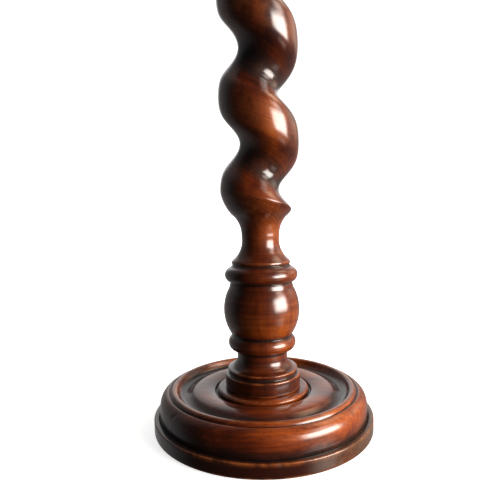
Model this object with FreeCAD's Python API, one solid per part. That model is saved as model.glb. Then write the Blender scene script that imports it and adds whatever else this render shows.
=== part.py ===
import FreeCAD, Part
import math
import os

from FreeCAD import Vector

# Barley-twist wooden candlestick.
# Millimetres, +Z up, origin at the centre of the footprint on the surface it stands on.
# Every outline below is a list of (radius, height) points, with heights
# measured from the underside of the wooden base.

# ---------------------------------------------------------------- driving sizes
BASE_R = 66.5            # plinth of the turned base, 5 1/4 in across
FELT_PROUD = 0.5         # the baize holds the wood this far off the table
FELT_T = 1.5
FELT_R = 62.0

PLINTH_TOP = 8.5
RIM_CREST = (54.4, 24.2)       # narrow bead around the dish
TROUGH = (47.6, 19.4)          # lowest ring of the dish
MOUND_CREST = (37.4, 22.9)
PAD_R = 27.8                   # raised pad that carries the stem
PAD_TOP = 23.4

TENON_R = 9.0
TENON_FOOT = 8.5               # lower end of the stem's tenon
GLUE_GAP = 0.05

SCREW_HEAD_R = 5.0
SCREW_SHANK_R = 2.4
SCREW_TIP = 33.0
SCREW_HEAD_FOOT = 1.6
SCREW_HEAD_T = 3.0

FOOT_R = 22.9                  # plain drum at the foot of the stem
NECK_R = 11.4                  # thinner than the rope is anywhere, so the carving ends there
TWIST_R = 24.2                 # cylinder from which the rope is carved
TWIST_FOOT = 115.6             # thinnest ring of the lower neck

# The rope's cross-section, as the distance of its tangent line from the axis:
# a0 + a1 cos(p) + a2 cos(2p) + a3 cos(3p), an off-centre circle with a flattened back.
ROPE = (18.98, 5.92, -1.46, 0.17)
ROPE_PITCH = 55.4
ROPE_RIGHT = 170.3             # height at which the rope stands out towards +X
ROPE_SIDES = 24                # spline knots round a section
ROPE_STEPS_PER_TURN = 20
ROPE_OVERRUN = 14.0            # the loft is made longer, because its last rings are less exact

TWIST_MIDDLE = 216.7           # the lower neck and ring are repeated upside down about it
MIRROR_HEIGHT = 2 * TWIST_MIDDLE
TWIST_TOP = MIRROR_HEIGHT - TWIST_FOOT
STEM_TOP = 348.0
SOCKET_R = 8.0
SOCKET_DEPTH = 22.0

PAN_R = 37.0
PAN_T = 12.5
CUP_FOOT = 355.0
CUP_TOP = 403.7
CUP_BORE_R = 12.3
CUP_BORE_DEPTH = 26.5

LINER_INNER_R = 11.2           # takes a 22 mm candle
LINER_WALL = 0.8
LINER_DEPTH = 25.0
FLANGE_R = 17.0
FLANGE_T = 1.0
FLANGE_BEAD_R = 0.75


# ------------------------------------------------------------- outline helpers
def outline(start, *steps):
    """Edges in the XZ plane: a step of 2 numbers is a line, of 4 an arc through the first pair."""
    edges = []
    here = Vector(start[0], 0, start[1])
    for step in steps:
        end = Vector(step[-2], 0, step[-1])
        if len(step) == 4:
            middle = Vector(step[0], 0, step[1])
            edges.append(Part.Arc(here, middle, end).toShape())
        else:
            edges.append(Part.LineSegment(here, end).toShape())
        here = end
    return edges


def turned(start, *steps):
    """Solid of revolution of a closed outline, set at its height above the table."""
    edges = outline(start, *steps, start)
    face = Part.Face(Part.Wire(edges))
    solid = face.revolve(Vector(0, 0, 0), Vector(0, 0, 1), 360)
    solid.translate(Vector(0, 0, FELT_PROUD))
    return solid


def upside_down(points):
    """The same steps mirrored about the middle of the twist, in the reverse order."""
    path = []
    for index in range(len(points) - 1, 0, -1):
        step = points[index]
        end = points[index - 1][-2:]
        middle = step[:2] if len(step) == 4 else ()
        coords = list(middle) + list(end)
        for i in range(1, len(coords), 2):
            coords[i] = MIRROR_HEIGHT - coords[i]
        path.append(tuple(coords))
    return path


def save(node, shape):
    shape.exportStep("parts/" + node + ".step")


# ------------------------------------------------------------------- the pieces
def make_felt():
    """Round of baize let into the underside."""
    felt = Part.makeCylinder(FELT_R, FELT_T)
    edges = [edge for edge in felt.Edges if edge.Closed and edge.BoundBox.ZMax < FELT_T / 2]
    return felt.makeFillet(0.3, edges)


def make_base():
    """Turned dish: plinth, quirk, ovolo, rim bead, trough, mound, quirk and pad."""
    recess_r = FELT_R + 0.5
    recess = FELT_T - FELT_PROUD
    bore_r = TENON_R + GLUE_GAP
    clear_r = SCREW_SHANK_R + 0.1
    sink_r = SCREW_HEAD_R + 0.1
    sink_top = SCREW_HEAD_FOOT + SCREW_HEAD_T
    return turned(
        (recess_r, 0),
        (65.3, 0),
        (66.2, 0.3, BASE_R, 1.2),
        (BASE_R, PLINTH_TOP - 1.0),
        (66.3, PLINTH_TOP - 0.4, 65.6, PLINTH_TOP - 0.2),
        (63.8, PLINTH_TOP),
        (62.6, 7.6),
        (62.8, 9.2),
        (63.0, 11.9, 62.5, 17.1),
        (60.6, 20.8, 57.6, 22.6),
        (57.0, 21.8),
        (56.4, 22.1),
        (55.8, 23.6, RIM_CREST[0], RIM_CREST[1]),
        (53.1, 24.0, 52.2, 23.0),
        (50.4, 20.5, TROUGH[0], TROUGH[1]),
        (45.3, 20.1, 42.8, 21.7),
        (40.4, 22.6, MOUND_CREST[0], MOUND_CREST[1]),
        (33.2, 22.6, 29.7, 21.6),
        (29.1, 20.6),
        (28.2, 19.6, PAD_R, 20.7),
        (PAD_R, 22.1),
        (27.2, 22.9, 26.2, PAD_TOP),
        (bore_r, PAD_TOP),
        (bore_r, TENON_FOOT - 0.5),
        (clear_r, TENON_FOOT - 0.5),
        (clear_r, sink_top),
        (sink_r, SCREW_HEAD_FOOT),
        (sink_r, recess),
        (recess_r, recess),
    )


def make_screw():
    """Steel wood screw: countersunk slotted head, plain shank, ringed thread and point."""
    shank_foot = SCREW_HEAD_FOOT + SCREW_HEAD_T
    thread_foot = 11.0
    thread_top = 30.0
    turns = 9
    core_r = 1.7
    pitch = (thread_top - thread_foot) / turns
    steps = [
        (SCREW_HEAD_R, SCREW_HEAD_FOOT),
        (SCREW_SHANK_R, shank_foot),
        (SCREW_SHANK_R, thread_foot),
        (core_r, thread_foot + 0.5),
    ]
    for turn in range(turns):
        z = thread_foot + turn * pitch
        steps += [(core_r, z + 0.6 * pitch), (SCREW_SHANK_R, z + 0.8 * pitch), (core_r, z + pitch)]
    steps += [(0, SCREW_TIP), (0, SCREW_HEAD_FOOT)]
    body = turned((0, SCREW_HEAD_FOOT), *steps[:-1])
    slot = Part.makeBox(2.2 * SCREW_HEAD_R, 1.2, 1.3)
    slot.translate(Vector(-1.1 * SCREW_HEAD_R, -0.6, SCREW_HEAD_FOOT + FELT_PROUD - 0.1))
    return body.cut(slot)


# The turned lower shoulder: the cove of the neck flares up into a rounded shoulder.
LOWER_NECK = [
    (17.6, 100.6),
    (16.4, 101.8),
    (12.7, 106.6, NECK_R, TWIST_FOOT),
    (12.9, 123.2, 17.2, 128.7),
    (18.9, 130.8),
    (21.8, 136.0, TWIST_R, 148.0),
]
# The ring above the bulb, from its under edge up to the fillet at the neck's foot.
LOWER_RING = [
    (18.9, 87.2),
    (18.4, 88.0),
    (20.2, 88.7),
    (22.0, 92.4, 19.6, 96.6),
    (18.4, 97.2),
    (17.1, 98.6),
    (17.7, 99.2),
    (17.6, 100.6),
]


def stem_envelope():
    """The stem as it leaves the lathe, before the rope is carved."""
    neck_up = LOWER_NECK[1:]
    neck_down = upside_down(LOWER_NECK)
    ring_down = upside_down(LOWER_RING)
    twist_top = MIRROR_HEIGHT - LOWER_NECK[-1][-1]
    bore_foot = STEM_TOP - SOCKET_DEPTH
    hole_r = SCREW_SHANK_R + GLUE_GAP
    hole_top = SCREW_TIP + 0.5
    return turned(
        (hole_r, TENON_FOOT),
        (TENON_R - 1.0, TENON_FOOT),
        (TENON_R, TENON_FOOT + 1.0),
        (TENON_R, PAD_TOP),
        (22.4, PAD_TOP),
        (FOOT_R, PAD_TOP + 0.5),
        (FOOT_R, 31.6),
        (22.6, 32.0),
        (20.8, 32.3),
        (20.8, 34.2),
        (21.3, 34.6),
        (21.3, 35.1),
        (20.9, 35.5),
        (17.0, 37.5, 15.15, 41.8),
        (15.2, 45.6),
        (16.2, 46.5),
        (19.3, 48.0, 20.4, 50.4),
        (20.1, 52.8, 18.9, 54.7),
        (18.1, 55.2),
        (18.3, 56.2),
        (21.6, 63.0, 22.9, 70.5),
        (22.1, 78.0, 19.4, 84.8),
        LOWER_RING[0],
        *LOWER_RING[1:],
        *neck_up,
        (TWIST_R, twist_top),
        *neck_down,
        *ring_down,
        (18.6, MIRROR_HEIGHT - 86.4),
        (17.6, STEM_TOP),
        (SOCKET_R + GLUE_GAP, STEM_TOP),
        (SOCKET_R + GLUE_GAP, bore_foot),
        (0, bore_foot),
        (0, hole_top),
        (hole_r, hole_top),
    )


def rope_ring(height):
    """Closed spline round the rope at a height; its first point always faces the same way."""
    a0, a1, a2, a3 = ROPE
    twist = 2 * math.pi * (height - ROPE_RIGHT) / ROPE_PITCH
    points = []
    for k in range(ROPE_SIDES):
        world = 2 * math.pi * k / ROPE_SIDES
        turn = world + twist
        reach = a0 + a1 * math.cos(turn) + a2 * math.cos(2 * turn) + a3 * math.cos(3 * turn)
        slope = -a1 * math.sin(turn) - 2 * a2 * math.sin(2 * turn) - 3 * a3 * math.sin(3 * turn)
        x = reach * math.cos(world) - slope * math.sin(world)
        y = reach * math.sin(world) + slope * math.cos(world)
        points.append(Vector(x, y, height + FELT_PROUD))
    ring = Part.BSplineCurve()
    even = [k / ROPE_SIDES for k in range(ROPE_SIDES + 1)]
    ring.interpolate(Points=points, PeriodicFlag=True, Parameters=even)
    quarters = [ring.toShape(q / 4, (q + 1) / 4) for q in range(4)]
    return Part.Wire(quarters)


def make_rope(foot, top):
    """Left-handed single rope between two heights, as a solid."""
    steps = math.ceil((top - foot) / ROPE_PITCH * ROPE_STEPS_PER_TURN)
    rings = [rope_ring(foot + (top - foot) * i / steps) for i in range(steps + 1)]
    return Part.makeLoft(rings, True, False)


def make_stem():
    """Tenon with its screw hole, foot, bulb, ring, neck, carved rope, upper neck and socket."""
    length = TWIST_TOP - TWIST_FOOT
    waste = Part.makeCylinder(2.5 * TWIST_R, length)
    waste.translate(Vector(0, 0, TWIST_FOOT + FELT_PROUD))
    waste = waste.cut(make_rope(TWIST_FOOT - ROPE_OVERRUN, TWIST_TOP + ROPE_OVERRUN))
    return stem_envelope().cut(waste)


def make_drip_pan():
    """Wooden saucer between the stem and the cup."""
    seat = STEM_TOP
    lip = seat + PAN_T
    hole_r = SOCKET_R + GLUE_GAP
    return turned(
        (hole_r, seat),
        (20.0, seat),
        (20.6, seat + 1.2),
        (26.0, seat + 2.6, 31.0, seat + 6.6),
        (PAN_R - 2.6, seat + 8.4),
        (PAN_R, seat + 9.2, PAN_R - 0.2, lip - 1.2),
        (PAN_R - 1.2, lip, PAN_R - 2.6, lip - 0.6),
        (29.0, seat + 7.4, 20.4, CUP_FOOT - 0.9),
        (18.6, CUP_FOOT - 1.0),
        (17.8, CUP_FOOT),
        (hole_r, CUP_FOOT),
    )


def make_candle_cup():
    """Turned cup on a spigot that passes through the pan into the stem."""
    spigot_foot = STEM_TOP - SOCKET_DEPTH + 1.0
    bore_foot = CUP_TOP - CUP_BORE_DEPTH
    return turned(
        (0, spigot_foot),
        (SOCKET_R - 0.8, spigot_foot),
        (SOCKET_R, spigot_foot + 0.8),
        (SOCKET_R, CUP_FOOT),
        (15.6, CUP_FOOT),
        (16.6, CUP_FOOT + 1.3, 15.6, CUP_FOOT + 2.6),
        (14.2, CUP_FOOT + 3.0),
        (10.9, CUP_FOOT + 5.4, 10.4, CUP_FOOT + 9.4),
        (11.4, CUP_FOOT + 10.6),
        (13.9, CUP_FOOT + 12.0, 13.2, CUP_FOOT + 14.4),
        (12.6, CUP_FOOT + 15.0),
        (19.4, CUP_FOOT + 19.0, 20.8, CUP_FOOT + 29.0),
        (20.0, CUP_FOOT + 36.0, 17.4, CUP_FOOT + 42.4),
        (16.8, CUP_FOOT + 43.0),
        (17.6, CUP_FOOT + 43.6),
        (20.3, CUP_FOOT + 46.0, 19.0, CUP_TOP - 0.4),
        (18.2, CUP_TOP),
        (CUP_BORE_R, CUP_TOP),
        (CUP_BORE_R, bore_foot),
        (0, bore_foot),
    )


def make_candle_liner():
    """Spun brass socket with a rolled flange; it lifts out for cleaning."""
    outer_r = LINER_INNER_R + LINER_WALL
    floor = CUP_TOP - LINER_DEPTH
    flange_top = CUP_TOP + FLANGE_T
    bead_z = CUP_TOP + FLANGE_BEAD_R
    return turned(
        (0, floor),
        (outer_r - 0.8, floor),
        (outer_r - 0.2, floor + 0.2, outer_r, floor + 0.8),
        (outer_r, CUP_TOP),
        (FLANGE_R, CUP_TOP),
        (FLANGE_R + FLANGE_BEAD_R, bead_z, FLANGE_R, CUP_TOP + 2 * FLANGE_BEAD_R),
        (FLANGE_R - 0.6, flange_top),
        (LINER_INNER_R + 1.2, flange_top),
        (LINER_INNER_R + 0.35, flange_top - 0.35, LINER_INNER_R, flange_top - 1.2),
        (LINER_INNER_R, floor + LINER_WALL),
        (0, floor + LINER_WALL),
    )


PIECES = {
    "base_felt": make_felt,
    "base": make_base,
    "base_screw": make_screw,
    "stem": make_stem,
    "drip_pan": make_drip_pan,
    "candle_cup": make_candle_cup,
    "candle_liner": make_candle_liner,
}

os.makedirs("parts", exist_ok=True)
for node, make in PIECES.items():
    save(node, make())
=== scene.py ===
import math

import bmesh
import bpy
import numpy as np
from mathutils import Matrix, Vector, noise


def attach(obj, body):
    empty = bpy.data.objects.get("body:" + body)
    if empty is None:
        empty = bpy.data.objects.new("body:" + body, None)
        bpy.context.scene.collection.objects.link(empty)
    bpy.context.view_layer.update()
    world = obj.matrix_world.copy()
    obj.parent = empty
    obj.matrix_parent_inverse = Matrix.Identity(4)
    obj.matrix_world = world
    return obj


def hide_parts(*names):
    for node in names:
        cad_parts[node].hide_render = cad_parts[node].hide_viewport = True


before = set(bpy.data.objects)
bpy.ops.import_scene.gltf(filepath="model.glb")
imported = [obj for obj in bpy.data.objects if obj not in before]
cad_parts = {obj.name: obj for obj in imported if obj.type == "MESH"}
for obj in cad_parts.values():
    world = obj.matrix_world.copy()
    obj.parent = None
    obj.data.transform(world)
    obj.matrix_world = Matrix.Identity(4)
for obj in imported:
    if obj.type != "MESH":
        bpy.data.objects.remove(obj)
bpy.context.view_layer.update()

# A barley-twist wooden candlestick. Outlines are in millimetres as (radius, height)
# above the underside of the wood, which stands FELT_PROUD above the table.
MM = 0.001
FELT_PROUD = 0.5

BASE_R = 66.5
PAD_TOP = 23.4
TENON_R = 9.0
TENON_FOOT = 8.5
SCREW_R = 2.4
SCREW_HOLE_TOP = 33.5
GAP = 0.05
TWIST_R = 24.2
TWIST_FOOT = 115.6
MIRROR = 433.4               # the neck and ring are repeated upside down above the twist
TWIST_TOP = MIRROR - TWIST_FOOT
STEM_TOP = 348.0
SOCKET_R = 8.0
SOCKET_FOOT = 326.0
CUP_FOOT = 355.0
CUP_TOP = 403.7
FELT_R = 62.0

# The rope's section: cosine terms of its tangent line's distance from the stem's axis.
ROPE = (18.98, 5.92, -1.46, 0.17)
ROPE_PITCH = 55.4
ROPE_RIGHT = 170.3
CREASE = 0.5                 # how softly the rope runs out into the turned shoulders

STEP = 0.05                  # spacing of the dense outline points
BLOCK = 4                    # mesh points each way that share one value of the unevenness
NICK = (216.0, 20.0)         # angle in degrees and height of the short cut in the base
NICK_LEAN = 0.6              # its slant, in radians


# ---------------------------------------------------------------- outlines
def arc_points(a, b, c):
    """Points along the circle through three points, without the first."""
    turn = 2 * (a[0] * (b[1] - c[1]) + b[0] * (c[1] - a[1]) + c[0] * (a[1] - b[1]))
    sa, sb, sc = a @ a, b @ b, c @ c
    centre = np.array([
        (sa * (b[1] - c[1]) + sb * (c[1] - a[1]) + sc * (a[1] - b[1])) / turn,
        (sa * (c[0] - b[0]) + sb * (a[0] - c[0]) + sc * (b[0] - a[0])) / turn,
    ])
    radius = np.linalg.norm(a - centre)
    start, via, stop = (math.atan2(p[1] - centre[1], p[0] - centre[0]) for p in (a, b, c))
    way = 1 if (via - start) % math.tau < (stop - start) % math.tau else -1
    sweep = way * ((way * (stop - start)) % math.tau)
    count = max(3, int(abs(sweep) * radius / STEP))
    turns = start + sweep * np.arange(1, count + 1) / count
    return centre + radius * np.stack([np.cos(turns), np.sin(turns)], axis=1)


def trace(start, *steps):
    """Dense outline: a step of 2 numbers is a line, of 4 an arc through the first pair."""
    runs = [np.array([start], float)]
    for step in steps:
        here, end = runs[-1][-1], np.array(step[-2:], float)
        if len(step) == 4:
            runs.append(arc_points(here, np.array(step[:2], float), end))
        else:
            count = max(1, int(np.linalg.norm(end - here) / STEP))
            share = np.arange(1, count + 1)[:, None] / count
            runs.append(here + (end - here) * share)
    return np.concatenate(runs)


def even_line(points):
    """The same outline with points every STEP millimetres."""
    along = np.concatenate([[0], np.cumsum(np.linalg.norm(np.diff(points, axis=0), axis=1))])
    spots = np.linspace(0, along[-1], int(along[-1] / STEP) + 1)
    return np.stack([np.interp(spots, along, points[:, i]) for i in (0, 1)], axis=1)


def soften(line, reach, ring):
    """The outline rounded over about reach millimetres, as handling and polish round it."""
    half = int(4 * reach / STEP) + 1
    kernel = np.exp(-0.5 * (np.arange(-half, half + 1) * STEP / reach) ** 2)
    kernel /= kernel.sum()
    if ring:
        padded = np.concatenate([line[-half - 1:-1], line, line[1:half + 1]])
    else:
        before = 2 * line[0] - line[half:0:-1]
        after = 2 * line[-1] - line[-2:-half - 2:-1]
        padded = np.concatenate([before, line, after])
    return np.stack([np.convolve(padded[:, i], kernel, "valid") for i in (0, 1)], axis=1)


def groove_depth(line, ring):
    """How deep each point lies in a groove, in millimetres, or below 0 how far on an arris."""
    away = soften(line, 1.2, ring) - line
    tangent = np.gradient(line, axis=0)
    tangent /= np.maximum(np.linalg.norm(tangent, axis=1), 1e-9)[:, None]
    return away[:, 0] * tangent[:, 1] - away[:, 1] * tangent[:, 0]


def pick(line, finest, coarsest):
    """Indices of the outline points kept: close together on curves, apart where it is straight."""
    tangent = np.gradient(line, axis=0)
    heading = np.unwrap(np.arctan2(tangent[:, 1], tangent[:, 0]))
    bend = np.abs(np.gradient(heading))
    need = np.clip(bend / 0.16, STEP / coarsest, STEP / finest)
    total = np.cumsum(need)
    marks = np.searchsorted(total, np.arange(total[0], total[-1]))
    return np.unique(np.concatenate([[0], marks, [len(line) - 1]]))


def smooth_step(value, low, high):
    """0 below low, 1 above high and an S-shaped rise between."""
    share = np.clip((value - low) / (high - low), 0, 1)
    return share * share * (3 - 2 * share)


def smooth_min(a, b, width):
    """The smaller of two values, blended where they are closer than width."""
    near = np.maximum(width - np.abs(a - b), 0) / width
    return np.minimum(a, b) - near * near * width / 4


# ---------------------------------------------------------------- turned pieces
def wander(theta, z, size, seed):
    """Slow unevenness of hand work, between about -1 and 1, one value to a block of points."""
    flat = np.zeros(theta.shape)
    for i in range(0, theta.shape[0], BLOCK):
        for j in range(0, theta.shape[1], BLOCK):
            t = theta[i, j]
            spot = Vector((math.cos(t), math.sin(t), z[i, j] / size)) + Vector((seed, 0, 0))
            flat[i:i + BLOCK, j:j + BLOCK] = noise.noise(spot)
    return flat


def turned(name, outline, sides, finest=0.3, coarsest=1.6, reach=0.22, shape=None):
    """Mesh of revolution with its grooves marked dark for stain and painted shade, and its arrises marked
    pale for wear.
    """
    ring = bool(outline[0][0] > 1e-6)
    line = outline if not ring else np.concatenate([outline, trace(outline[-1], outline[0])[1:]])
    line = soften(even_line(line), reach, ring)
    depth = groove_depth(line, ring)
    kept = pick(line, finest, coarsest)
    if ring:
        kept = kept[:-1]
    else:
        line[0, 0] = line[-1, 0] = 0
    radius, height, depth = line[kept, 0], line[kept, 1], depth[kept]
    theta, z = np.meshgrid(np.arange(sides) * math.tau / sides, height)
    r = np.repeat(radius[:, None], sides, axis=1)
    # Grooves are darkened as stain and painted shade.
    dirt = np.repeat(smooth_step(depth, 0.03, 0.32)[:, None], sides, axis=1)
    wear = np.repeat(smooth_step(-depth, 0.12, 0.42)[:, None], sides, axis=1)
    skin = {
        "dirt": dirt,
        "wear": wear,
        "tint": np.zeros(r.shape),
        "lay": np.stack([0.06 * r * np.cos(theta), 0.06 * r * np.sin(theta), z], axis=2),
    }
    if shape:
        r = shape(theta, r, z, skin)
    spots = np.stack([r * np.cos(theta), r * np.sin(theta), z + FELT_PROUD], axis=2) * MM
    rows = len(radius)
    index = np.arange(rows * sides).reshape(rows, sides)
    last = rows if ring else rows - 1
    faces = []
    for i in range(last):
        low, high = index[i], index[(i + 1) % rows]
        low_on, high_on = np.roll(low, -1), np.roll(high, -1)
        faces.append(np.stack([low, low_on, high_on, high], axis=1))
    faces = np.concatenate(faces)
    mesh = bpy.data.meshes.new(name)
    mesh.from_pydata(spots.reshape(-1, 3).tolist(), [], faces.tolist())
    for label in ("dirt", "wear", "tint"):
        layer = mesh.attributes.new(label, "FLOAT", "POINT")
        layer.data.foreach_set("value", skin[label].astype(np.float32).ravel())
    layer = mesh.attributes.new("lay", "FLOAT_VECTOR", "POINT")
    layer.data.foreach_set("vector", (skin["lay"] * MM).astype(np.float32).ravel())
    if not ring:
        close_poles(mesh)
    mesh.shade_smooth()
    piece = bpy.data.objects.new(name, mesh)
    bpy.context.scene.collection.objects.link(piece)
    return piece


def close_poles(mesh):
    """Joins the points that lie together on the axis."""
    work = bmesh.new()
    work.from_mesh(mesh)
    axis = [v for v in work.verts if v.co.x ** 2 + v.co.y ** 2 < 1e-14]
    bmesh.ops.remove_doubles(work, verts=axis, dist=1e-7)
    work.to_mesh(mesh)
    work.free()


def dent(theta, r, z, where, height, wide, tall, deep):
    """A knock in the wood at an angle in degrees and a height: radius lost there."""
    off = angle_from(theta, where)
    return deep * np.exp(-(off * r / wide) ** 2 - ((z - height) / tall) ** 2)


# Knocks in the base: angle in degrees, height, half width, half height and depth.
KNOCKS = (
    (212, 14.2, 1.0, 0.6, 0.3),
    (276, 7.9, 1.3, 0.5, 0.5),
    (304, 2.0, 1.6, 0.7, 0.4),
    (341, 5.2, 2.4, 0.5, 0.25),
)


def angle_from(theta, degrees):
    """Angle past a bearing in degrees, between minus and plus half a turn."""
    return (theta - math.radians(degrees) + math.pi) % math.tau - math.pi


def shape_base(theta, r, z, skin):
    """Hand-turned unevenness, knocks, stain and painted shade in the hollows of the base, and painted
    light and shade by height and on its left side.
    """
    outside = (r > 30) & (z > 1.2)
    slow = wander(theta, z, 9.0, 3.0)
    # Darkened bands: the dish's trough as stain and painted shade, the plinth's top ledge darkened, and
    # the lower ovolo as painted shade.
    trough = (z > 17) * smooth_step(r, 42.5, 45.5) * smooth_step(-r, -51.8, -50.0)
    ledge = (z < 8.6) * smooth_step(r, 62.0, 62.8) * smooth_step(-r, -65.2, -64.6)
    low_ovolo_shade = (r < 65) * smooth_step(r, 61.0, 62.2) * smooth_step(-z, -15.5, -9.0)
    stain = np.maximum(trough * (0.65 + 0.6 * slow), np.maximum(0.9 * ledge, 0.75 * low_ovolo_shade))
    # Painted light and shade: dark on the plinth and lower ovolo, pale on the upper ovolo and rim, paler
    # on the dish's mound, darker on the left side, with random tone.
    painted_light_by_height = np.interp(z, [7.4, 8.6, 11.5, 16.5, 21.5, 23.0], [-1.9, -1.3, -0.5, 0.6, 0.8, 0.5])
    mound = np.interp(r, [28, 30, 34, 39, 43, 46], [0.2, -0.1, 0.5, 0.4, -0.3, -0.6])
    left = smooth_step(-np.cos(theta - math.radians(10)), -0.30, 0.75)
    skin["tint"] = np.where(r > 50, painted_light_by_height, mound) - 1.5 * left + 0.6 * slow
    lost_all = np.zeros(r.shape)
    off = angle_from(theta, NICK[0])
    slant = off * r * math.cos(NICK_LEAN) + (z - NICK[1]) * math.sin(NICK_LEAN)
    across = off * r * math.sin(NICK_LEAN) - (z - NICK[1]) * math.cos(NICK_LEAN)
    nick = np.where(r > 58, np.exp(-(slant / 2.2) ** 4 - (across / 0.6) ** 2), 0)
    for knock in KNOCKS:
        lost_all += np.where(r > 58, dent(theta, r, z, *knock), 0)
    stain = np.maximum(np.maximum(skin["dirt"], stain), np.clip(lost_all * 1.6, 0, 0.8))
    skin["dirt"] = np.clip(np.maximum(stain, nick), 0, 1)
    return r + np.where(outside & (r < 66), 0.10 * slow, 0) - lost_all - 0.5 * nick


def rope_turn(theta, z):
    """Angle round the rope from its crest, which winds left-handed up the stem."""
    return theta + math.tau * (z - ROPE_RIGHT) / ROPE_PITCH


def rope_radius(theta, z):
    """Distance of the rope's skin from the axis at an angle and a height."""
    a0, a1, a2, a3 = ROPE
    p = np.linspace(-math.pi, math.pi, 1441)
    reach = a0 + a1 * np.cos(p) + a2 * np.cos(2 * p) + a3 * np.cos(3 * p)
    slope = -a1 * np.sin(p) - 2 * a2 * np.sin(2 * p) - 3 * a3 * np.sin(3 * p)
    x = reach * np.cos(p) - slope * np.sin(p)
    y = reach * np.sin(p) + slope * np.cos(p)
    way = np.unwrap(np.arctan2(y, x))
    turn = (rope_turn(theta, z) + math.pi) % math.tau - math.pi
    return np.interp(turn, way, np.hypot(x, y), period=math.tau)


# Painted light and shade at heights up the stem, where below 0 is darker.
STEM_PAINTED_LIGHT = (
    (23, -1.0), (31, -0.9), (34, -0.2), (41, 0.1), (50, 0.6), (56, 0.1), (61, 1.0), (68, 0.8),
    (75, 0.3), (86, 0.0), (88, -0.4), (92, 0.1), (98, -0.3), (104, 0.3), (114, 0.8), (122, 0.6),
    (129, -0.2), (136, 0.0), (190, -0.1), (205, -0.5), (220, -0.8), (300, -0.2), (318, 0.6),
    (330, 0.0), (348, 0.0),
)


def shape_stem(theta, r, z, skin):
    """Carves the rope, with stain and painted shade in its valleys, wear and painted highlight on its
    crests, painted light and shade by height, and tool marks running along it.
    """
    carved = (z > TWIST_FOOT) & (z < TWIST_TOP) & (r > 10)
    slow = wander(theta, z, 14.0, 8.0)
    rope = rope_radius(theta, z) + 0.16 * slow
    fade = smooth_step(z, TWIST_FOOT, TWIST_FOOT + 2) * smooth_step(-z, -TWIST_TOP, 2 - TWIST_TOP)
    # Valleys darkened as stain and painted shade; crests lightened as wear and painted highlight.
    valley = 0.85 * fade * smooth_step(17.2 - rope, 0, 5.5)
    ridge = 0.35 * smooth_step(rope, 21.5, 24.5)
    skin["dirt"] = np.where(carved, np.maximum(skin["dirt"] * 0.6, valley), skin["dirt"])
    skin["wear"] = np.where(carved, np.maximum(skin["wear"] * 0.4, ridge), skin["wear"])
    # Painted light and shade by height, with random tone.
    heights, painted_light_levels = zip(*STEM_PAINTED_LIGHT)
    skin["tint"] = np.interp(z, heights, painted_light_levels) + 0.5 * slow
    turn = rope_turn(theta, z)
    strand = np.stack([26 * np.cos(turn), 26 * np.sin(turn), 0.05 * z], axis=2)
    skin["lay"] = np.where(carved[:, :, None], strand, skin["lay"])
    return np.where(carved, smooth_min(rope, r, CREASE), r)


def shape_felt(theta, r, z, skin):
    """The cut edge of the cloth is a little ragged."""
    return r + np.where(r > FELT_R - 1, 0.15 * wander(theta, z, 3.0, 5.0) - 0.2, 0)


def upside_down(points):
    """The same steps mirrored about the middle of the twist, in the reverse order."""
    path = []
    for here, step in zip(points[-2::-1], points[:0:-1]):
        coords = list(step[:2] if len(step) == 4 else ()) + list(here[-2:])
        path.append(tuple(MIRROR - c if i % 2 else c for i, c in enumerate(coords)))
    return path


NECK = [
    (17.6, 100.6),
    (16.4, 101.8),
    (12.7, 106.6, 11.4, TWIST_FOOT),
    (12.9, 123.2, 17.2, 128.7),
    (18.9, 130.8),
    (21.8, 136.0, TWIST_R, 148.0),
]
RING = [
    (18.9, 87.2),
    (18.4, 88.0),
    (20.2, 88.7),
    (22.0, 92.4, 19.6, 96.6),
    (18.4, 97.2),
    (17.1, 98.6),
    (17.7, 99.2),
    (17.6, 100.6),
]

BASE = trace(
    (62.5, 0), (65.3, 0), (66.2, 0.3, BASE_R, 1.2), (BASE_R, 7.5), (66.3, 8.1, 65.6, 8.3),
    (63.8, 8.5), (62.6, 7.6), (62.8, 9.2), (63.0, 11.9, 62.5, 17.1), (60.6, 20.8, 57.6, 22.6),
    (57.0, 21.8), (56.4, 22.1), (55.8, 23.6, 54.4, 24.2), (53.1, 24.0, 52.2, 23.0),
    (50.4, 20.5, 47.6, 19.4), (45.3, 20.1, 42.8, 21.7), (40.4, 22.6, 37.4, 22.9),
    (33.2, 22.6, 29.7, 21.6), (29.1, 20.6), (28.2, 19.6, 27.8, 20.7), (27.8, 22.1),
    (27.2, 22.9, 26.2, PAD_TOP), (TENON_R + GAP, PAD_TOP), (TENON_R + GAP, 8.0), (2.5, 8.0),
    (2.5, 4.6), (5.1, 1.6), (5.1, 1.0), (62.5, 1.0),
)
STEM = trace(
    (0, SCREW_HOLE_TOP), (SCREW_R + GAP, SCREW_HOLE_TOP), (SCREW_R + GAP, TENON_FOOT),
    (8.0, TENON_FOOT), (TENON_R, 9.5), (TENON_R, PAD_TOP), (22.4, PAD_TOP), (22.9, 23.9),
    (22.9, 31.6), (22.6, 32.0), (20.8, 32.3), (20.8, 34.2), (21.3, 34.6), (21.3, 35.1),
    (20.9, 35.5), (17.0, 37.5, 15.15, 41.8), (15.2, 45.6), (16.2, 46.5),
    (19.3, 48.0, 20.4, 50.4), (20.1, 52.8, 18.9, 54.7), (18.1, 55.2), (18.3, 56.2),
    (21.6, 63.0, 22.9, 70.5), (22.1, 78.0, 19.4, 84.8), RING[0], *RING[1:],
    *NECK[1:], (TWIST_R, MIRROR - 148.0), *upside_down(NECK), *upside_down(RING),
    (18.6, MIRROR - 86.4), (17.6, STEM_TOP), (SOCKET_R + GAP, STEM_TOP),
    (SOCKET_R + GAP, SOCKET_FOOT), (0, SOCKET_FOOT),
)
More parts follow.
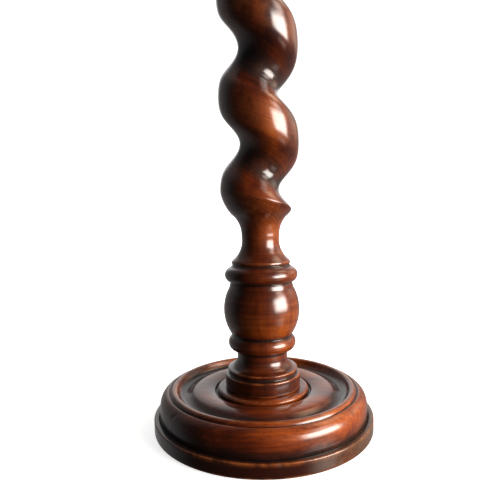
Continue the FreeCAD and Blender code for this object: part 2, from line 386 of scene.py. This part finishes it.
PAN = trace(
    (SOCKET_R + GAP, STEM_TOP), (20.0, STEM_TOP), (20.6, 349.2), (26.0, 350.6, 31.0, 354.6), (34.4, 356.4),
    (37.0, 357.2, 36.8, 359.3), (35.8, 360.5, 34.4, 359.9), (29.0, 355.4, 20.4, 354.1),
    (18.6, 354.0), (17.8, CUP_FOOT), (SOCKET_R + GAP, CUP_FOOT),
)
CUP = trace(
    (0, 327.0), (7.2, 327.0), (SOCKET_R, 327.8), (SOCKET_R, CUP_FOOT), (15.6, CUP_FOOT),
    (16.6, 356.3, 15.6, 357.6), (14.2, 358.0), (10.9, 360.4, 10.4, 364.4), (11.4, 365.6),
    (13.9, 367.0, 13.2, 369.4), (12.6, 370.0), (19.4, 374.0, 20.8, 384.0),
    (20.0, 391.0, 17.4, 397.4), (16.8, 398.0), (17.6, 398.6), (20.3, 401.0, 19.0, 403.3),
    (18.2, CUP_TOP), (12.3, CUP_TOP), (12.3, 377.2), (0, 377.2),
)
LINER = trace(
    (0, 378.7), (11.2, 378.7), (11.8, 378.9, 12.0, 379.5), (12.0, CUP_TOP), (17.0, CUP_TOP),
    (17.75, 404.45, 17.0, 405.2), (16.4, 404.7), (12.4, 404.7), (11.55, 404.35, 11.2, 403.5),
    (11.2, 379.5), (0, 379.5),
)
FELT = trace((0, -0.5), (61.7, -0.5), (61.9, -0.4, 62.0, -0.2), (62.0, 1.0), (0, 1.0))


# ---------------------------------------------------------------- finishes
class Finish:
    """A node material, built up one node at a time."""

    def __init__(self, name):
        self.material = bpy.data.materials.new(name)
        self.material.use_nodes = True
        self.tree = self.material.node_tree
        self.skin = next(n for n in self.tree.nodes if n.type == "BSDF_PRINCIPLED")
        self.place = self.add("ShaderNodeTexCoord", {}).outputs["Object"]

    def add(self, kind, inputs, **settings):
        """New node with its settings, and its inputs linked or set."""
        node = self.tree.nodes.new(kind)
        for key, value in settings.items():
            setattr(node, key, value)
        for key, value in inputs.items():
            self.put(node.inputs[key], value)
        return node

    def put(self, socket, value):
        if isinstance(value, bpy.types.NodeSocket):
            self.tree.links.new(value, socket)
        else:
            socket.default_value = value

    def noise(self, scale, stretch=(1, 1, 1), detail=3.0, rough=0.55, shift=0.0, on=None):
        """Noise whose features are 1/scale metres across, longer where stretch is below 1."""
        move = {"Vector": on or self.place, "Scale": stretch}
        move["Location"] = (shift, shift / 2, -shift)
        spot = self.add("ShaderNodeMapping", move).outputs["Vector"]
        inputs = {"Vector": spot, "Scale": scale, "Detail": detail, "Roughness": rough}
        return self.add("ShaderNodeTexNoise", inputs).outputs["Fac"]

    def ramp(self, value, low, high, start=0.0, end=1.0):
        """Smooth change from start to end as the value goes from low to high."""
        inputs = {"Value": value, "From Min": low, "From Max": high, "To Min": start, "To Max": end}
        node = self.add("ShaderNodeMapRange", inputs, interpolation_type="SMOOTHSTEP")
        return node.outputs["Result"]

    def math(self, operation, *values):
        inputs = dict(enumerate(values))
        return self.add("ShaderNodeMath", inputs, operation=operation).outputs[0]

    def mix(self, share, low, high, blend="MIX"):
        node = self.add("ShaderNodeMix", {}, data_type="RGBA", blend_type=blend)
        self.put(node.inputs[0], share)
        self.put(node.inputs[6], low)
        self.put(node.inputs[7], high)
        return node.outputs[2]

    def tones(self, value, *stops):
        """Colour ramp through stops of a position and a colour."""
        node = self.add("ShaderNodeValToRGB", {"Fac": value})
        for element, (spot, colour) in zip(self.elements(node, len(stops)), stops):
            element.position = spot
            element.color = (*colour, 1)
        return node.outputs["Color"]

    def elements(self, node, count):
        while len(node.color_ramp.elements) < count:
            node.color_ramp.elements.new(0.5)
        return node.color_ramp.elements

    def layer(self, name):
        """One of the mesh's own values: the dark of hollows (stain and painted shade), the pale of worn
        edges and of the rope's crests (wear, and painted highlight on the crests) or the tone (random tone
        with painted light and shade).
        """
        return self.add("ShaderNodeAttribute", {}, attribute_name=name).outputs["Fac"]

    def bump(self, height, distance, strength=1.0, below=None):
        inputs = {"Height": height, "Distance": distance, "Strength": strength}
        if below is not None:
            inputs["Normal"] = below
        return self.add("ShaderNodeBump", inputs).outputs["Normal"]


def along(grain, short, across=1.0):
    """Stretch of a noise that runs with the grain."""
    return (short, across, across) if grain == "X" else (across, across, short)


def mahogany(name, grain, shift, lathe, deep, faded=False):
    """Stained and French-polished mahogany; lathe is how much the tool marks show."""
    f = Finish(name)
    lay = f.add("ShaderNodeAttribute", {}, attribute_name="lay").outputs["Vector"]
    figure = f.noise(75, along(grain, 0.16), 3, 0.5, shift)
    streak = f.noise(620, along(grain, 0.05), 4, 0.65, shift + 1)
    pores = f.noise(1900, along(grain, 0.09), 2, 0.6, shift + 2)
    patch = f.noise(28, (1, 1, 1), 3, 0.5, shift + 3)
    rings = f.noise(420, (1, 1, 1), 4, 0.62, shift + 4, lay)
    tone = f.math("MULTIPLY", figure, 0.40)
    tone = f.math("MULTIPLY_ADD", streak, 0.36 - 0.24 * lathe, tone)
    tone = f.math("MULTIPLY_ADD", rings, 0.28 * lathe, tone)
    tone = f.math("MULTIPLY_ADD", patch, 0.32 - 0.12 * lathe, tone)
    # Painted light and shade by height and side, with random tone, lightens or darkens the wood here.
    tone = f.math("MULTIPLY_ADD", f.layer("tint"), 0.085, tone)
    colour = f.tones(
        tone,
        (0.36, (0.040 * deep, 0.0070 * deep, 0.0022 * deep)),
        (0.47, (0.120 * deep, 0.0205 * deep, 0.0034 * deep)),
        (0.56, (0.240 * deep, 0.0500 * deep, 0.0060 * deep)),
        (0.68, (0.440 * deep, 0.1150 * deep, 0.0120 * deep)),
    )
    stroke = f.ramp(pores, 0.60, 0.70, 0.0, 0.55)
    colour = f.mix(stroke, colour, (0.030, 0.0070, 0.0030, 1))
    rub = f.noise(160, (1, 1, 1), 3, 0.6, shift + 5)
    # Worn edges, and painted highlight on the rope's crests, lighten the wood.
    worn = f.math("MULTIPLY", f.layer("wear"), f.ramp(rub, 0.38, 0.62, 0.15, 0.8))
    colour = f.mix(worn, colour, (0.36, 0.115, 0.030, 1))
    # Stain and painted shade in the hollows darken the wood towards near black.
    grime_and_painted_shade = f.math("MULTIPLY", f.layer("dirt"), f.ramp(rub, 0.3, 0.7, 1.1, 0.7))
    colour = f.mix(grime_and_painted_shade, colour, (0.0085, 0.0032, 0.0022, 1))
    dull = f.math("MULTIPLY", f.layer("dirt"), 0.22)
    rough = f.math("ADD", f.ramp(patch, 0.3, 0.7, 0.36, 0.50), dull)
    if faded:
        colour, rough = fade_plinth(f, colour, rough, shift)
    f.put(f.skin.inputs["Base Color"], colour)
    f.put(f.skin.inputs["Roughness"], rough)
    f.skin.inputs["Specular IOR Level"].default_value = 0.3
    f.skin.inputs["Coat Weight"].default_value = 1.0
    f.skin.inputs["Coat Roughness"].default_value = 0.12
    f.skin.inputs["Coat IOR"].default_value = 1.5
    tool = f.bump(f.math("ADD", f.math("MULTIPLY", rings, lathe), streak), 0.00003, 0.55)
    pitted = f.bump(pores, 0.00005, 0.35, tool)
    f.put(f.skin.inputs["Normal"], pitted)
    wavy = f.bump(f.noise(95, along(grain, 0.5), 2, 0.4, shift + 6), 0.00025, 0.35)
    f.put(f.skin.inputs["Coat Normal"], f.bump(rings, 0.00002, 0.3 * lathe + 0.1, wavy))
    return f.material


def fade_plinth(f, colour, rough, shift):
    """The low step is bleached and scuffed on its right side."""
    parts = f.add("ShaderNodeSeparateXYZ", {"Vector": f.place})
    low = f.ramp(parts.outputs["Z"], 0.0086, 0.0094, 1.0, 0.0)
    side = f.ramp(parts.outputs["X"], 0.010, 0.058, 0.0, 1.0)
    speck = f.noise(900, (1, 1, 1), 3, 0.7, shift + 9)
    share = f.math("MULTIPLY", low, f.math("MULTIPLY", side, f.ramp(speck, 0.35, 0.6, 0.25, 0.85)))
    colour = f.mix(share, colour, (0.115, 0.058, 0.022, 1))
    return colour, f.math("MULTIPLY_ADD", share, 0.25, rough)


def baize():
    """Green wool cloth."""
    f = Finish("baize")
    fluff = f.noise(1400, (1, 1, 1), 5, 0.7)
    colour = f.tones(fluff, (0.35, (0.010, 0.040, 0.018)), (0.65, (0.045, 0.13, 0.06)))
    f.put(f.skin.inputs["Base Color"], colour)
    f.put(f.skin.inputs["Roughness"], f.ramp(fluff, 0.3, 0.7, 0.85, 1.0))
    f.skin.inputs["Sheen Weight"].default_value = 0.6
    f.skin.inputs["Sheen Roughness"].default_value = 0.5
    f.put(f.skin.inputs["Normal"], f.bump(fluff, 0.0004, 0.8))
    return f.material


def brass():
    """Spun brass, tarnished in patches."""
    f = Finish("brass")
    spun = f.noise(1500, (0.04, 0.04, 1), 3, 0.6)
    stain = f.noise(220, (1, 1, 1), 4, 0.6, 2.0)
    colour = f.mix(f.ramp(stain, 0.45, 0.7), (0.80, 0.55, 0.22, 1), (0.42, 0.26, 0.09, 1))
    # Grooves in the liner are darkened as stain and painted shade.
    colour = f.mix(f.layer("dirt"), colour, (0.10, 0.06, 0.02, 1))
    f.put(f.skin.inputs["Base Color"], colour)
    f.skin.inputs["Metallic"].default_value = 1.0
    f.put(f.skin.inputs["Roughness"], f.ramp(stain, 0.35, 0.7, 0.20, 0.42))
    f.put(f.skin.inputs["Normal"], f.bump(spun, 0.00003, 0.5))
    return f.material


def steel():
    """Old steel, grimy in patches."""
    f = Finish("steel")
    turned_marks = f.noise(1800, (0.05, 0.05, 1), 3, 0.6)
    grime = f.noise(500, (1, 1, 1), 4, 0.6, 4.0)
    colour = f.mix(f.ramp(grime, 0.4, 0.7), (0.45, 0.44, 0.42, 1), (0.16, 0.11, 0.08, 1))
    f.put(f.skin.inputs["Base Color"], colour)
    f.skin.inputs["Metallic"].default_value = 1.0
    f.put(f.skin.inputs["Roughness"], f.ramp(grime, 0.3, 0.7, 0.32, 0.6))
    f.put(f.skin.inputs["Normal"], f.bump(turned_marks, 0.00004, 0.5))
    return f.material


# ---------------------------------------------------------------- the pieces
def place(piece, node, body, material):
    """Puts a piece in the place of a CAD node, on its body, with its material."""
    piece.data.materials.append(material)
    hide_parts(node)
    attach(piece, body)
    return piece


wood_of_base = mahogany("mahogany_base", "X", 0.0, 0.35, 1.0, faded=True)
wood_of_stem = mahogany("mahogany_stem", "Z", 13.0, 1.0, 0.72)
wood_of_top = mahogany("mahogany_top", "Z", 29.0, 1.0, 0.72)

base = turned("turned_base", BASE, 448, finest=0.22, coarsest=2.2, reach=0.2, shape=shape_base)
stem = turned("turned_stem", STEM, 128, finest=0.28, coarsest=0.7, reach=0.24, shape=shape_stem)
pan = turned("turned_drip_pan", PAN, 192, reach=0.22)
cup = turned("turned_cup", CUP, 144, reach=0.22)
liner = turned("spun_liner", LINER, 144, finest=0.12, coarsest=1.2, reach=0.08)
felt = turned("felt_round", FELT, 256, finest=0.1, coarsest=3.0, reach=0.1, shape=shape_felt)

place(base, "base", "candlestick", wood_of_base)
place(stem, "stem", "candlestick", wood_of_stem)
place(pan, "drip_pan", "candlestick", wood_of_top)
place(cup, "candle_cup", "candlestick", wood_of_top)
place(liner, "candle_liner", "liner", brass())
place(felt, "base_felt", "candlestick", baize())

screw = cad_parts["base_screw"]
screw.data.materials.clear()
screw.data.materials.append(steel())


# ---------------------------------------------------------------- studio
def camera():
    """Camera close to the stem, a little above its middle and looking slightly down."""
    data = bpy.data.cameras.new("camera")
    data.sensor_width = 36.0
    data.lens = 35.03
    data.clip_start = 0.01
    eye = bpy.data.objects.new("camera", data)
    pitch, roll = 0.09, -0.0187
    turn = Matrix.Rotation(math.pi / 2 - pitch, 4, "X") @ Matrix.Rotation(roll, 4, "Z")
    eye.matrix_world = Matrix.Translation((-0.00643, -0.2924, 0.1339)) @ turn
    bpy.context.scene.collection.objects.link(eye)
    bpy.context.scene.camera = eye


def feather(light, soft):
    """Dims an area light towards its edges, over a share of its half width."""
    light.use_nodes = True
    tree = light.node_tree
    glow = next(n for n in tree.nodes if n.type == "EMISSION")
    spot = tree.nodes.new("ShaderNodeNewGeometry")
    parts = tree.nodes.new("ShaderNodeSeparateXYZ")
    tree.links.new(spot.outputs["Parametric"], parts.inputs[0])
    level = None
    for side in ("X", "Y"):
        centred = tree.nodes.new("ShaderNodeMath")
        centred.operation = "PINGPONG"
        tree.links.new(parts.outputs[side], centred.inputs[0])
        centred.inputs[1].default_value = 0.5
        edge = tree.nodes.new("ShaderNodeMapRange")
        edge.interpolation_type = "SMOOTHSTEP"
        tree.links.new(centred.outputs[0], edge.inputs["Value"])
        edge.inputs["From Min"].default_value = 0.0
        edge.inputs["From Max"].default_value = soft / 2
        if level is None:
            level = edge.outputs["Result"]
        else:
            both = tree.nodes.new("ShaderNodeMath")
            both.operation = "MULTIPLY"
            tree.links.new(level, both.inputs[0])
            tree.links.new(edge.outputs["Result"], both.inputs[1])
            level = both.outputs[0]
    tree.links.new(level, glow.inputs["Strength"])


def softbox(name, azimuth, elevation, distance, wide, tall, power, colour, soft):
    """Area light at an azimuth from the front towards +X and an elevation, facing the stem."""
    aim = Vector((0, 0, 0.12))
    data = bpy.data.lights.new(name, "AREA")
    data.shape = "RECTANGLE"
    data.size, data.size_y = wide, tall
    data.energy = power
    data.color = colour
    feather(data, soft)
    lamp = bpy.data.objects.new(name, data)
    a, e = math.radians(azimuth), math.radians(elevation)
    back = Vector((math.sin(a) * math.cos(e), -math.cos(a) * math.cos(e), math.sin(e)))
    lamp.location = aim + back * distance
    lamp.rotation_mode = "QUATERNION"
    lamp.rotation_quaternion = back.to_track_quat("Z", "Y")
    bpy.context.scene.collection.objects.link(lamp)


def rise(tree, value, span, levels):
    """Node that takes a value across span smoothly from one level to the other."""
    node = tree.nodes.new("ShaderNodeMapRange")
    node.interpolation_type = "SMOOTHSTEP"
    tree.links.new(value, node.inputs["Value"])
    for key, number in zip(("From Min", "From Max", "To Min", "To Max"), (*span, *levels)):
        node.inputs[key].default_value = number
    return node.outputs["Result"]


def backdrop():
    """White room behind and above, darker in front, with the camera seeing plain white."""
    world = bpy.data.worlds.new("studio")
    bpy.context.scene.world = world
    world.use_nodes = True
    tree = world.node_tree
    tree.nodes.clear()
    way = tree.nodes.new("ShaderNodeTexCoord")
    parts = tree.nodes.new("ShaderNodeSeparateXYZ")
    tree.links.new(way.outputs["Generated"], parts.inputs[0])
    behind = rise(tree, parts.outputs["Y"], (-0.3, 0.4), (0.03, 0.28))
    wall = tree.nodes.new("ShaderNodeVectorMath")
    wall.operation = "DOT_PRODUCT"
    tree.links.new(way.outputs["Generated"], wall.inputs[0])
    wall.inputs[1].default_value = (0, math.cos(math.radians(24)), math.sin(math.radians(24)))
    bright = rise(tree, wall.outputs["Value"], (0.80, 0.97), (0.0, 0.65))
    both = tree.nodes.new("ShaderNodeMath")
    tree.links.new(behind, both.inputs[0])
    tree.links.new(bright, both.inputs[1])
    path = tree.nodes.new("ShaderNodeLightPath")
    power = tree.nodes.new("ShaderNodeMix")
    tree.links.new(path.outputs["Is Camera Ray"], power.inputs[0])
    tree.links.new(both.outputs[0], power.inputs[2])
    power.inputs[3].default_value = 1.0
    sky = tree.nodes.new("ShaderNodeBackground")
    sky.inputs["Color"].default_value = (1, 1, 1, 1)
    tree.links.new(power.outputs[0], sky.inputs["Strength"])
    out = tree.nodes.new("ShaderNodeOutputWorld")
    tree.links.new(sky.outputs[0], out.inputs["Surface"])


def floor():
    """Plain pale floor that turns to white in the distance and isn't seen in reflections."""
    size = 6.0
    mesh = bpy.data.meshes.new("floor")
    corners = [(-size, -size, 0), (size, -size, 0), (size, size, 0), (-size, size, 0)]
    mesh.from_pydata(corners, [], [(0, 1, 2, 3)])
    f = Finish("pale_floor")
    f.skin.inputs["Base Color"].default_value = (0.85, 0.85, 0.85, 1)
    f.skin.inputs["Roughness"].default_value = 0.9
    f.skin.inputs["Emission Color"].default_value = (1, 1, 1, 1)
    far = f.add("ShaderNodeVectorMath", {0: f.place}, operation="LENGTH").outputs["Value"]
    f.put(f.skin.inputs["Emission Strength"], f.ramp(far, 0.15, 0.7, 0.6, 1.0))
    mesh.materials.append(f.material)
    ground = bpy.data.objects.new("floor", mesh)
    ground.visible_glossy = False
    ground.visible_diffuse = False
    ground.visible_shadow = False
    bpy.context.scene.collection.objects.link(ground)


camera()
softbox("window", 60, 9, 2.5, 2.7, 1.9, 240, (1.0, 0.97, 0.93), 0.6)
softbox("window_top", 70, 35, 2.0, 1.4, 1.1, 24, (1.0, 0.95, 0.88), 0.9)
softbox("room_right", 118, 20, 2.5, 2.4, 1.8, 15, (1.0, 0.86, 0.70), 0.9)
softbox("room_high", 112, 52, 2.2, 1.8, 1.4, 22, (1.0, 0.84, 0.62), 0.9)
softbox("table_bounce", 60, -30, 1.5, 1.1, 0.8, 5, (1.0, 0.93, 0.85), 0.9)
backdrop()
floor()
bpy.context.scene.view_settings.view_transform = "Standard"
bpy.context.scene.view_settings.exposure = 0.35
bpy.context.scene.view_settings.gamma = 0.82
